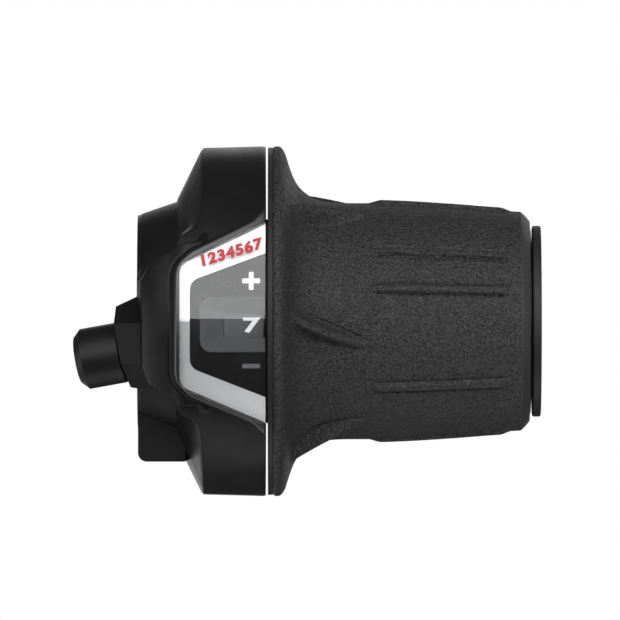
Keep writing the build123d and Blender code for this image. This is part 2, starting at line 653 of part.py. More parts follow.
def make_barrel_adjuster(bolt):
    barrel = adjuster_round(ADJUSTER_GAP, ADJUSTER_LENGTH, ADJUSTER_R)
    rims = barrel.edges().filter_by(GeomType.CIRCLE).sort_by(Axis.X)
    barrel = chamfer(rims[:1], ADJUSTER_CHAMFER)
    barrel = fillet(barrel.edges().filter_by(GeomType.CIRCLE).sort_by(Axis.X)[-1:], 0.3)
    barrel -= adjuster_round(ADJUSTER_LENGTH - SOCKET_DEPTH, ADJUSTER_LENGTH + 1, SOCKET_R)
    filled_bolt = bolt + adjuster_round(-1, ADJUSTER_LENGTH - SOCKET_DEPTH, STEM_BORE_R + 0.1)
    return barrel - filled_bolt


def make_click_cup():
    """A cup that slides in the boss on a key, and carries the clicks that the barrel turns over."""
    top = -0.1
    bottom = 0.2 - KEYED_DEPTH
    cup = adjuster_round(bottom, top, KEYED_CUP_R)
    cup -= adjuster_round(bottom - 1, top - KEYED_CUP_TOP, KEYED_CUP_R - KEYED_CUP_WALL)
    cup -= adjuster_round(-CLEAR, 1, STEM_R + RUNNING_GAP)
    tab = Rectangle(KEY_REACH - KEYED_CUP_R + 0.2, KEY_WIDTH - 0.1, align=(Align.MIN, Align.CENTER))
    return cup + extrude(adjuster_plane.offset(bottom) * Pos(KEYED_CUP_R - 0.2, 0) * tab, top - bottom)


def make_adjuster_spring():
    length = KEYED_DEPTH - KEYED_CUP_TOP - 0.1 - 2 * SPRING_WIRE_R - 0.1
    helix = Helix(pitch=length / SPRING_TURNS, height=length, radius=SPRING_COIL_R)
    wire = Plane(origin=helix @ 0, z_dir=helix % 0) * Circle(SPRING_WIRE_R)
    coil = sweep(wire, path=helix, is_frenet=True)
    return adjuster_plane.offset(SPRING_WIRE_R + 0.05 - KEYED_DEPTH).location * coil


def make_adjuster_insert():
    return (adjuster_round(-KEYED_DEPTH - INSERT_LENGTH, -KEYED_DEPTH, INSERT_R)
            - adjuster_round(-CLEAR, CLEAR, INSERT_BORE_R))


main_housing = make_main_housing()
adjuster_bolt = make_adjuster_bolt()
write("main_housing", main_housing)
write("front_cover", make_front_cover(main_housing))
write("indicator_lens", make_lens())
write("indicator_frame", make_indicator_frame())
write("indicator_plate", make_indicator_plate())
write("thrust_washer", make_thrust_washer())
write("end_washer", make_end_washer())
write("detent_spring", make_detent_spring())
write("clamp_bolt", make_clamp_bolt())
write("clamp_nut", make_clamp_nut())
write("cover_screws", Compound([make_cover_screw(SCREW_Z), make_cover_screw(-SCREW_Z)]))
write("cable_elbow", make_cable_elbow())
write("rotor_core", make_rotor_core())
write("gear_dial", make_gear_dial())
write("index_ring", make_index_ring())
write("cable_spool", make_cable_spool())
write("grip_rubber", make_grip_rubber())
write("adjuster_bolt", adjuster_bolt)
write("barrel_adjuster", make_barrel_adjuster(adjuster_bolt))
write("click_cup", make_click_cup())
write("adjuster_spring", make_adjuster_spring())
write("adjuster_insert", make_adjuster_insert())
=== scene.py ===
import math

import bmesh
import bpy
import numpy as np
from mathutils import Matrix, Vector


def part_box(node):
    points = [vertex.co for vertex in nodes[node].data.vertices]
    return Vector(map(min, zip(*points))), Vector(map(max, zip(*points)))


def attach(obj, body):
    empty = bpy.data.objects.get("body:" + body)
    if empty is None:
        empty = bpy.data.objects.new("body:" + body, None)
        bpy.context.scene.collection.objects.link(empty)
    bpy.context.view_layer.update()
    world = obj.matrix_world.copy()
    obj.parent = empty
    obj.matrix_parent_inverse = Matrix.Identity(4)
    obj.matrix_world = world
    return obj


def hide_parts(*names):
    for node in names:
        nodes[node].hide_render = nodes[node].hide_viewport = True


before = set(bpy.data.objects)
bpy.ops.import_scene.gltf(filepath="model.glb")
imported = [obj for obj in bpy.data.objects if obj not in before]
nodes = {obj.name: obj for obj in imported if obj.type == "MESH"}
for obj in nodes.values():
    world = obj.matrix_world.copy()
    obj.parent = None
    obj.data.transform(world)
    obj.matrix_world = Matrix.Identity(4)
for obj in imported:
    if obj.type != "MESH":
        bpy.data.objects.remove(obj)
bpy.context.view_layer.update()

MM = 0.001

# ---- sizes read from the frame ---------------------------------------------------------------
cover_low, cover_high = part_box("front_cover")
grip_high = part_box("grip_rubber")[1]
dial_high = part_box("gear_dial")[1]

DRUM_END = cover_high.x / MM
DRUM_R = cover_high.z / MM
POD_LEFT = cover_low.x / MM - 0.2
DIAL_R = dial_high.z / MM
GRIP_END = grip_high.x / MM
RIM_R = grip_high.z / MM

# the bulge's faces curve about an axis parallel to the bar, this far behind it
POD_AXIS = 5.4


# ---- small helpers ----------------------------------------------------------------------------
def smooth(edge0, edge1, value):
    """A smooth step from 0 at edge0 to 1 at edge1."""
    t = np.clip((value - edge0) / (edge1 - edge0), 0.0, 1.0)
    return t * t * (3 - 2 * t)


def curve_through(points, x):
    """Radius at x along a smooth line through (x, radius) points (monotone cubic)."""
    px = np.array([p[0] for p in points], dtype=float)
    py = np.array([p[1] for p in points], dtype=float)
    slope = np.diff(py) / np.diff(px)
    tangent = np.zeros(len(px))
    for i in range(1, len(px) - 1):
        if slope[i - 1] * slope[i] > 0:
            tangent[i] = 2 * slope[i - 1] * slope[i] / (slope[i - 1] + slope[i])
    tangent[0] = slope[0]
    tangent[-1] = slope[-1]
    x = np.clip(x, px[0], px[-1])
    k = np.clip(np.searchsorted(px, x, side="right") - 1, 0, len(px) - 2)
    h = px[k + 1] - px[k]
    t = (x - px[k]) / h
    return ((2 * t ** 3 - 3 * t ** 2 + 1) * py[k] + (t ** 3 - 2 * t ** 2 + t) * h * tangent[k]
            + (-2 * t ** 3 + 3 * t ** 2) * py[k + 1] + (t ** 3 - t ** 2) * h * tangent[k + 1])


def new_object(name, vertices, faces):
    """A mesh object from millimetre vertices."""
    mesh = bpy.data.meshes.new(name)
    mesh.from_pydata([tuple(float(c) * MM for c in v) for v in vertices], [], faces)
    mesh.update()
    made = bpy.data.objects.new(name, mesh)
    bpy.context.collection.objects.link(made)
    return made


def shade(obj, angle=35.0):
    """Smooth shading that keeps real edges."""
    for polygon in obj.data.polygons:
        polygon.use_smooth = True
    bm = bmesh.new()
    bm.from_mesh(obj.data)
    limit = math.radians(angle)
    for edge in bm.edges:
        if len(edge.link_faces) == 2 and edge.calc_face_angle(0.0) > limit:
            edge.smooth = False
    bm.to_mesh(obj.data)
    bm.free()


def turn_faces(obj, towards_viewer):
    """Make a mesh's faces agree: outwards, or for an open skin towards the viewer, at -Y."""
    bm = bmesh.new()
    bm.from_mesh(obj.data)
    bmesh.ops.recalc_face_normals(bm, faces=bm.faces)
    facing = sum(face.normal.y * face.calc_area() for face in bm.faces)
    if towards_viewer and facing > 0:
        bmesh.ops.reverse_faces(bm, faces=bm.faces)
    bm.to_mesh(obj.data)
    bm.free()


def thicken(obj, thickness, offset):
    """Give a skin a thickness in millimetres, baked into its mesh."""
    film = obj.modifiers.new("film", "SOLIDIFY")
    film.thickness = thickness * MM
    film.offset = offset
    depsgraph = bpy.context.evaluated_depsgraph_get()
    mesh = bpy.data.meshes.new_from_object(obj.evaluated_get(depsgraph))
    obj.modifiers.clear()
    obj.data = mesh


CUT_REACH = 0.8
CUT_MARGIN = 0.5


def trim(bm, outline):
    """Cut an (x, z) outline through an open skin seen along Y, and delete what is inside it."""
    xs = [point[0] for point in outline]
    zs = [point[1] for point in outline]
    near = set()
    for face in bm.faces:
        centre = face.calc_center_median() / MM
        if min(xs) - 1 < centre.x < max(xs) + 1 and min(zs) - 1 < centre.z < max(zs) + 1:
            gap = signed_distance(outline, np.array([centre.x]), np.array([centre.z]))[0]
            if abs(gap) < CUT_REACH:
                near.add(face)
    for i, start in enumerate(outline):
        end = outline[(i + 1) % len(outline)]
        run = Vector((end[0] - start[0], 0, end[1] - start[1]))
        length = run.length
        if length < 1e-6:
            continue
        run /= length
        across = Vector((-run.z, 0, run.x))
        picked = []
        for face in near:
            offset = face.calc_center_median() / MM - Vector((start[0], 0, start[1]))
            beside = abs(offset.dot(across)) < CUT_MARGIN
            if beside and -CUT_MARGIN < offset.dot(run) < length + CUT_MARGIN:
                picked.append(face)
        geom = set(picked)
        for face in picked:
            geom.update(face.edges)
            geom.update(face.verts)
        plane = Vector((start[0], 0, start[1])) * MM
        made = bmesh.ops.bisect_plane(bm, geom=list(geom), plane_co=plane, plane_no=across, dist=1e-8)
        near = {face for face in near if face.is_valid}
        near.update(item for item in made["geom"] if isinstance(item, bmesh.types.BMFace))
    centres = np.array([face.calc_center_median() / MM for face in bm.faces])
    inside = (signed_distance(outline, centres[:, 0], centres[:, 2]) > 0) & (centres[:, 1] < 0)
    doomed = [face for face, hit in zip(bm.faces, inside) if hit]
    bmesh.ops.delete(bm, geom=doomed, context="FACES")


def rounded_outline(corners, steps=8):
    """Points round a closed outline of (x, z, corner radius)."""
    points = []
    count = len(corners)
    for i in range(count):
        x, z, radius = corners[i]
        here = Vector((x, z))
        before = (Vector(corners[i - 1][:2]) - here).normalized()
        after = (Vector(corners[(i + 1) % count][:2]) - here).normalized()
        if radius <= 0:
            points.append((x, z))
            continue
        half = before.angle(after) / 2
        reach = radius / math.tan(half)
        centre = here + (before + after).normalized() * (radius / math.sin(half))
        start = here + before * reach - centre
        turn = math.pi - 2 * half
        side = 1 if before.x * after.y - before.y * after.x < 0 else -1
        for step in range(steps + 1):
            a = side * turn * step / steps
            point = Vector((start.x * math.cos(a) - start.y * math.sin(a),
                            start.x * math.sin(a) + start.y * math.cos(a)))
            points.append(tuple(centre + point))
    return points


def signed_distance(outline, x, z):
    """Distance to a closed outline, positive inside, on arrays."""
    inside = np.zeros(x.shape, dtype=bool)
    nearest = np.full(x.shape, 1e9)
    count = len(outline)
    for i in range(count):
        ax, az = outline[i]
        bx, bz = outline[(i + 1) % count]
        dx, dz = bx - ax, bz - az
        length = dx * dx + dz * dz
        if length < 1e-12:
            continue
        t = np.clip(((x - ax) * dx + (z - az) * dz) / length, 0, 1)
        nearest = np.minimum(nearest, (x - ax - t * dx) ** 2 + (z - az - t * dz) ** 2)
        crosses = (az > z) != (bz > z)
        if dz != 0:
            inside ^= crosses & (x < dx * (z - az) / dz + ax)
    return np.where(inside, 1, -1) * np.sqrt(nearest)


def fan(left, top, bottom, up, down, radius, grow, end):
    """Corners of an outline that opens towards +X; its two inboard corners are rounded."""
    left_x = left - grow
    top_z = top + grow / math.cos(math.atan(up)) - grow * up
    bottom_z = bottom - grow / math.cos(math.atan(down)) + grow * down
    run = end - left_x
    return [(left_x, top_z, radius + grow), (end, top_z + run * up, 0),
            (end, bottom_z - run * down, 0), (left_x, bottom_z, radius + grow)]


# the window's inboard edge, its top and bottom there, and how steeply those open towards +X
WINDOW = (2.83, 9.3, -10.6, 0.492, 0.449)
WINDOW_CORNER = 2.4


# ---- materials -----------------------------------------------------------------------------------
class Finish:
    """A node material with a principled shader and helpers for its detail."""

    def __init__(self, name, color, roughness, **inputs):
        self.material = bpy.data.materials.new(name)
        self.material.use_nodes = True
        self.tree = self.material.node_tree
        self.shader = self.tree.nodes["Principled BSDF"]
        self.shader.inputs["Base Color"].default_value = (*color, 1)
        self.shader.inputs["Roughness"].default_value = roughness
        for key, value in inputs.items():
            self.shader.inputs[key.replace("_", " ")].default_value = value
        self.height = None
        self.coords = self.add("ShaderNodeTexCoord").outputs["Object"]

    def add(self, kind, **settings):
        node = self.tree.nodes.new(kind)
        for key, value in settings.items():
            setattr(node, key, value)
        return node

    def link(self, source, target):
        self.tree.links.new(source, target)

    def noise(self, scale, detail=4.0, roughness=0.55, distortion=0.0):
        node = self.add("ShaderNodeTexNoise")
        node.inputs["Scale"].default_value = scale
        node.inputs["Detail"].default_value = detail
        node.inputs["Roughness"].default_value = roughness
        node.inputs["Distortion"].default_value = distortion
        self.link(self.coords, node.inputs["Vector"])
        return node.outputs["Fac"]

    def cells(self, scale, feature="F1", randomness=1.0):
        node = self.add("ShaderNodeTexVoronoi", feature=feature)
        node.inputs["Scale"].default_value = scale
        node.inputs["Randomness"].default_value = randomness
        self.link(self.coords, node.inputs["Vector"])
        return node.outputs["Distance"]

    def bump(self, source, strength, distance):
        """Add a bump in front of any that is there already."""
        node = self.add("ShaderNodeBump")
        node.inputs["Strength"].default_value = strength
        node.inputs["Distance"].default_value = distance
        self.link(source, node.inputs["Height"])
        if self.height is not None:
            self.link(self.height, node.inputs["Normal"])
        self.height = node.outputs["Normal"]
        self.link(self.height, self.shader.inputs["Normal"])

    def vary(self, source, low, high, socket="Roughness", start=0.35, end=0.65):
        """Map a pattern to a range on one of the shader's numbers."""
        node = self.add("ShaderNodeMapRange")
        node.inputs["From Min"].default_value = start
        node.inputs["From Max"].default_value = end
        node.inputs["To Min"].default_value = low
        node.inputs["To Max"].default_value = high
        self.link(source, node.inputs["Value"])
        self.link(node.outputs["Result"], self.shader.inputs[socket])

    def tint(self, source, dark, light, start=0.35, end=0.65):
        """Map a pattern to a range of colour, and give back its ramp."""
        node = self.add("ShaderNodeValToRGB")
        node.color_ramp.elements[0].position = start
        node.color_ramp.elements[0].color = (*dark, 1)
        node.color_ramp.elements[1].position = end
        node.color_ramp.elements[1].color = (*light, 1)
        self.link(source, node.inputs["Fac"])
        self.link(node.outputs["Color"], self.shader.inputs["Base Color"])
        return node.color_ramp


def moulded_plastic(name, color, roughness, grain=900.0, strength=0.12, specular=0.14):
    """Satin moulded nylon: fine spark-eroded texture, faint flow mottling."""
    made = Finish(name, color, roughness, Specular_IOR_Level=specular)
    mottle = made.noise(120.0, 3.0)
    made.tint(mottle, [c * 0.82 for c in color], [c * 1.2 for c in color])
    made.bump(made.noise(grain, 3.0, 0.6), strength, 0.00006)
    made.bump(made.noise(60.0, 2.0), 0.05, 0.0002)
    made.vary(made.noise(220.0, 4.0), roughness - 0.05, roughness + 0.06)
    return made.material


def grip_finish():
    """Black rubber with a fine leather grain that skin has polished a little on the high spots."""
    made = Finish("soft_rubber_grain", (0.016, 0.016, 0.017), 0.6, Specular_IOR_Level=0.2)
    made.tint(made.noise(3000.0, 2.0, 0.7), (0.0045, 0.0045, 0.0048), (0.03, 0.03, 0.031), 0.38, 0.64)
    made.bump(made.cells(2400.0, "F1"), 0.7, 0.0002)
    made.bump(made.noise(2600.0, 3.0, 0.6, 0.4), 0.6, 0.00016)
    made.bump(made.noise(300.0, 2.0), 0.05, 0.0002)
    made.vary(made.noise(900.0, 4.0), 0.54, 0.72)
    return made.material


def smooth_rubber():
    """The plain rubber band at the grip's outboard end."""
    made = Finish("soft_rubber_plain", (0.022, 0.022, 0.023), 0.5, Specular_IOR_Level=0.2)
    made.bump(made.noise(1400.0, 3.0), 0.12, 0.00008)
    made.vary(made.noise(300.0, 3.0), 0.44, 0.58)
    return made.material


def lens_finish():
    """Clear polycarbonate with a hard, glossy face."""
    made = Finish("clear_polycarbonate", (0.98, 0.985, 0.99), 0.02, IOR=1.36, Transmission_Weight=1.0)
    made.vary(made.noise(90.0, 4.0), 0.012, 0.03)
    made.bump(made.noise(30.0, 1.0), 0.01, 0.0001)
    return made.material


def printed(name, color, roughness=0.4, spread=0.08):
    """Screen print: nearly even, with a faint speckle."""
    made = Finish(name, color, roughness, Specular_IOR_Level=0.1)
    speck = made.noise(1500.0, 3.0)
    made.tint(speck, [c * (1 - spread) for c in color], [min(1.0, c * (1 + spread)) for c in color])
    made.bump(made.noise(900.0, 2.0), 0.04, 0.00004)
    return made.material


# heights (mm) over which the surround's painted reflection is graded; above the split share it is painted
# white
PAINTED_REFLECTION_LOW = -15.0
PAINTED_REFLECTION_HIGH = 1.0
PAINTED_REFLECTION_SPLIT = 0.964


def silver_print():
    """The window's surround: silver print with a painted reflection; painted white down to the split,
    then silver with painted shade that lightens downwards.
    """
    made = Finish("silver_print", (0.8, 0.8, 0.8), 0.4)
    place = made.add("ShaderNodeSeparateXYZ")
    made.link(made.coords, place.inputs["Vector"])
    drift = made.add("ShaderNodeMath", operation="MULTIPLY_ADD")
    made.link(made.noise(1500.0, 3.0), drift.inputs[0])
    drift.inputs[1].default_value = 0.0006
    made.link(place.outputs["Z"], drift.inputs[2])
    spread = made.add("ShaderNodeMapRange")
    spread.inputs["From Min"].default_value = PAINTED_REFLECTION_LOW * MM
    spread.inputs["From Max"].default_value = PAINTED_REFLECTION_HIGH * MM
    made.link(drift.outputs[0], spread.inputs["Value"])
    # painted reflection: white above the split, then painted shade in darker silver just below it,
    # lightening downwards
    ramp = made.tint(spread.outputs["Result"], (0.66, 0.66, 0.665), (0.86, 0.86, 0.86), 0.1, PAINTED_REFLECTION_SPLIT)
    ramp.elements.new(0.95).color = (0.36, 0.36, 0.363, 1)
    ramp.elements.new(0.55).color = (0.4, 0.4, 0.405, 1)
    made.bump(made.noise(900.0, 2.0), 0.04, 0.00004)
    return made.material


def metal(name, color, roughness, grain=500.0, metallic=1.0):
    """Machined or plated metal with fine turning marks."""
    made = Finish(name, color, roughness, Metallic=metallic)
    speck = made.noise(grain, 5.0, 0.7)
    made.tint(speck, [c * 0.8 for c in color], [min(1.0, c * 1.12) for c in color])
    made.bump(speck, 0.1, 0.00004)
    made.vary(made.noise(180.0, 4.0), roughness - 0.06, roughness + 0.08)
    return made.material


def make_materials():
    """Every finish on the part, by the name that coat() takes."""
    return {
        "housing": moulded_plastic("housing_nylon", (0.0045, 0.0045, 0.0048), 0.42, specular=0.09),
        "cover": moulded_plastic("cover_nylon", (0.0055, 0.0055, 0.0058), 0.36, specular=0.1),
        "bezel": moulded_plastic("bezel_nylon", (0.006, 0.006, 0.0063), 0.34, specular=0.5),
        "barrel": moulded_plastic("barrel_nylon", (0.004, 0.004, 0.0043), 0.42),
        "core": moulded_plastic("core_nylon", (0.015, 0.015, 0.0155), 0.5),
        "dial": moulded_plastic("dial_nylon", (0.09, 0.09, 0.092), 0.5),
        "rubber": grip_finish(),
        "rubber_plain": smooth_rubber(),
        "lens": lens_finish(),
        # the surround's silver print, with its painted reflection and painted shade
        "silver_with_painted_reflection": silver_print(),
        "plate": printed("dark_print", (0.008, 0.008, 0.0085), 0.5, 0.15),
        "smoke": printed("smoke_grey", (0.08, 0.08, 0.083), 0.45, 0.06),
        "white": printed("white_ink", (0.85, 0.85, 0.85), 0.45, 0.03),
        "grey": printed("grey_ink", (0.16, 0.16, 0.165), 0.45, 0.05),
        "red": printed("red_ink", (0.32, 0.04, 0.05), 0.7, 0.05),
        "acetal": moulded_plastic("natural_acetal", (0.62, 0.61, 0.57), 0.38),
        "spring": metal("spring_steel", (0.5, 0.51, 0.53), 0.3),
        "bolt": metal("blackened_steel", (0.05, 0.05, 0.053), 0.4),
        "zinc": metal("zinc_plate", (0.55, 0.56, 0.58), 0.35),
        "brass": metal("turned_brass", (0.72, 0.53, 0.24), 0.3),
    }


materials = make_materials()


def coat(obj, *keys):
    """Give an object its materials."""
    obj.data.materials.clear()
    for key in keys:
        obj.data.materials.append(materials[key])


CARRIED = {
    "main_housing": "housing", "indicator_plate": "plate", "indicator_frame": "silver_with_painted_reflection",
    "thrust_washer": "acetal", "end_washer": "core", "detent_spring": "spring",
    "clamp_bolt": "bolt", "clamp_nut": "zinc", "cover_screws": "bolt", "cable_elbow": "acetal",
    "rotor_core": "core", "gear_dial": "dial", "index_ring": "acetal", "cable_spool": "acetal",
    "adjuster_bolt": "zinc", "barrel_adjuster": "barrel", "click_cup": "acetal",
    "adjuster_spring": "spring", "adjuster_insert": "brass", "front_cover": "cover",
    "indicator_lens": "lens", "grip_rubber": "rubber"}

for node, key in CARRIED.items():
    coat(nodes[node], key)


# ---- rubber grip -----------------------------------------------------------------------------------
GRIP_BACK = 17.6
GRIP_BORE = 14.4
TAPER_X = 56.5
TAPER_R = 17.2
TAPER_DROP = 1.5
RIB_CENTRES = (26.0, 146.0, 266.0)
RIB_PAIR_HALF = 10.0
SINGLE_CENTRES = (86.0, 206.0, 326.0)
RIB_START = 32.2
RIB_END = 55.4
RIB_RISE = 0.55
RIB_HALF = 0.5
BODY_LINE = [
    (GRIP_BACK, RIM_R - 0.35), (17.9, RIM_R - 0.06), (18.25, RIM_R), (18.7, RIM_R - 0.08),
    (19.1, RIM_R - 0.42), (19.6, 26.2), (20.0, 24.9), (20.4, 23.7), (20.9, 22.45), (21.4, 21.55),
    (22.2, 20.6), (23.0, 19.95), (24.0, 19.3), (25.3, 18.88), (27.0, 18.65), (29.0, 18.56),
    (33.0, 18.55), (37.6, 18.42), (45.5, 17.95), (53.3, 17.36), (TAPER_X, TAPER_R)]
FIN_START = 20.45
FIN_END = 33.1
FIN_START_R = 23.5
FIN_END_R = 18.45
FIN_SPREAD = 36.0
FIN_CLOSING = 14.5
FIN_HALF = 1.75
FIN_TIP_HALF = 0.15
RING_POINTS = 720


def angle_gap(angle, centre):
    """Signed difference of two angles in degrees."""
    return (angle - centre + 180) % 360 - 180


def grip_radius(x, angle):
    """Outer radius of the rubber at x (mm) and elevation angle (degrees)."""
    tail = np.clip((x - TAPER_X) / (GRIP_END - TAPER_X), 0, 1)
    base = np.where(x > TAPER_X, TAPER_R - TAPER_DROP * tail ** 1.25, curve_through(BODY_LINE, x))
    radius = base
    along = np.clip((x - FIN_START) / (FIN_END - FIN_START), 0, 1)
    crest = FIN_START_R + (FIN_END_R - FIN_START_R) * along ** 0.9
    for centre in SINGLE_CENTRES:
        for side in (-1, 1):
            middle = centre + side * (FIN_SPREAD - FIN_CLOSING * along ** 0.85)
            width = FIN_HALF * (1 - along) ** 0.45 * (0.75 + 0.25 * along) + FIN_TIP_HALF
            across = angle_gap(angle, middle) * np.pi / 180 * base / width
            rise = np.maximum(0, crest - base) * smooth(1.0, 0.22, np.abs(across))
            rise *= (x > FIN_START - 1.0) & (x < FIN_END)
            trough = 0.24 * np.exp(-((np.abs(across) - 1.14) / 0.2) ** 2)
            trough *= smooth(FIN_START + 1.0, FIN_START + 3.0, x) * smooth(FIN_END, FIN_END - 2.5, x)
            radius = radius + rise - trough
    ribs = [c + s * RIB_PAIR_HALF for c in RIB_CENTRES for s in (-1, 1)] + list(SINGLE_CENTRES)
    for middle in ribs:
        across = angle_gap(angle, middle) * np.pi / 180 * base
        ends = smooth(RIB_START, RIB_START + 2.6, x) * smooth(RIB_END, RIB_END - 2.2, x)
        width = RIB_HALF - 0.22 * (1 - smooth(RIB_START, RIB_START + 3.2, x))
        radius = radius + RIB_RISE * ends * smooth(width + 0.3, width - 0.12, np.abs(across))
        radius = radius - 0.2 * ends * np.exp(-((np.abs(across) - width - 0.42) / 0.17) ** 2)
    return radius


def make_grip():
    """The rubber as one closed shell: outside, outboard face, bore and flange back."""
    xs = np.concatenate([
        np.linspace(GRIP_BACK, 20.4, 19), np.arange(20.55, 33.4, 0.17), np.arange(33.5, 36.4, 0.17),
        np.arange(36.7, 52.6, 0.55), np.arange(52.9, 56.2, 0.2), np.linspace(56.35, GRIP_END, 12)])
    count = RING_POINTS
    angles = np.arange(count) * 360.0 / count
    grid_x, grid_a = np.meshgrid(xs, angles, indexing="ij")
    radius = grip_radius(grid_x, grid_a)
    rows = [np.stack([grid_x[i], radius[i]], axis=1) for i in range(len(xs))]
    end_r = TAPER_R - TAPER_DROP
    for x, r in ((GRIP_END, end_r - 0.25), (GRIP_END, GRIP_BORE + 0.12), (GRIP_END - 0.12, GRIP_BORE),
                 (GRIP_BACK + 0.12, GRIP_BORE), (GRIP_BACK, GRIP_BORE + 0.12), (GRIP_BACK, RIM_R - 1.0)):
        rows.append(np.stack([np.full(count, x), np.full(count, r)], axis=1))
    vertices = []
    cosines = np.cos(np.radians(angles))
    sines = np.sin(np.radians(angles))
    for row in rows:
        vertices += [(row[j, 0], -row[j, 1] * cosines[j], row[j, 1] * sines[j]) for j in range(count)]
    faces = []
    total = len(rows)
    for i in range(total):
        following = (i + 1) % total
        for j in range(count):
            k = (j + 1) % count
            faces.append([i * count + j, i * count + k, following * count + k, following * count + j])
    grip = new_object("grip_skin", vertices, faces)
    turn_faces(grip, towards_viewer=False)
    coat(grip, "rubber", "rubber_plain")
    for polygon in grip.data.polygons:
        if polygon.center.x > TAPER_X * MM:
            polygon.material_index = 1
    shade(grip, 40)
    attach(grip, "twist_grip")
    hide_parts("grip_rubber")


make_grip()


# ---- front cover -----------------------------------------------------------------------------------
POD_OUTLINE = rounded_outline([
    (POD_LEFT - 0.1, 6.6, 1.0), (-2.5, 8.9, 1.6), (-1.2, 10.2, 1.6), (1.1, 11.6, 2.0), (2.7, 13.0, 1.2),
    (7.3, 13.3, 0), (7.3, -13.9, 0), (2.9, -14.2, 1.2), (2.0, -12.9, 1.5), (0.3, -12.0, 2.0),
    (-2.1, -10.5, 2.0), (POD_LEFT - 0.1, -7.4, 1.0)])
BEZEL_OUTLINE = rounded_outline([
    (1.72, 8.7, 4.5), (4.6, 11.2, 4.0), (14.0, 15.75, 3.0), (DRUM_END + 0.6, 18.6, 0),
    (DRUM_END + 0.6, -18.9, 0), (14.0, -15.9, 3.0), (4.3, -11.9, 4.0), (1.72, -9.3, 4.5)])
SHELL_LINE = [
    (POD_LEFT, 16.6), (2.5, 18.4), (2.55, 18.9), (2.7, 19.35), (6.3, 26.7), (6.7, 27.2),
    (7.2, 27.24), (16.2, DRUM_R - 0.02), (DRUM_END, DRUM_R - 0.18)]
POD_LINE = [(POD_LEFT, 28.5), (POD_LEFT + 0.2, 29.2), (-2.6, 30.1), (-1.75, 30.75), (1.5, 32.15),
            (4.5, 33.15), (DRUM_END, 33.2)]
BEZEL_TOP = 34.15
BEZEL_LOW = 33.28
DRUM_SHOULDER_R = 27.24
PARTING = 1.98
COLLAR_COVERED_R = 16.2
GROOVE_DEPTH = 0.12
WINDOW_SIDE_ANGLE = 1.1
WALL_DEPTH = 1.5
BEZEL_OVERLAP = 0.3
POD_RUN_OUT = 4.8


def from_pod_axis(radius, angle):
    """Radius from the bar's axis of a cylinder about the pod's axis."""
    c = np.cos(angle)
    s = np.sin(angle)
    return -POD_AXIS * c + np.sqrt(np.maximum(radius ** 2 - (POD_AXIS * s) ** 2, 0))


def cover_radius(x, angle):
    """Outer radius of the cover at x (mm) and elevation angle (radians)."""
    base = np.interp(x, *np.transpose(SHELL_LINE))
    pod = from_pod_axis(curve_through(POD_LINE, x), angle)
    guess = pod
    for _ in range(3):
        z = guess * np.sin(angle)
        inside = signed_distance(POD_OUTLINE, x, z)
        # the pod drops steeply to the collar, but runs out softly onto the cone, up to the drum's radius
        under_bezel = smooth(-0.32, 0.1, signed_distance(BEZEL_OUTLINE, x, z))
        mask = np.maximum(smooth(-0.5, 1.0, inside), under_bezel)
        run_out = base + (pod - base) * smooth(-0.5 - POD_RUN_OUT * smooth(2.3, 3.6, x), 1.0, inside)
        run_out = np.minimum(run_out, np.maximum(base, DRUM_SHOULDER_R))
        guess = np.where(pod > base, np.maximum(base + (pod - base) * mask, run_out), base)
    edge = signed_distance(BEZEL_OUTLINE, x, pod * np.sin(angle))
    bezel_rise = np.maximum(from_pod_axis(np.full(x.shape, BEZEL_TOP), angle) - pod, 0)
    groove = np.exp(-((edge + GROOVE_DEPTH) / 0.13) ** 2) * (np.abs(angle) < WINDOW_SIDE_ANGLE)
    return guess + bezel_rise * smooth(-0.02, 0.95, edge) - GROOVE_DEPTH * groove


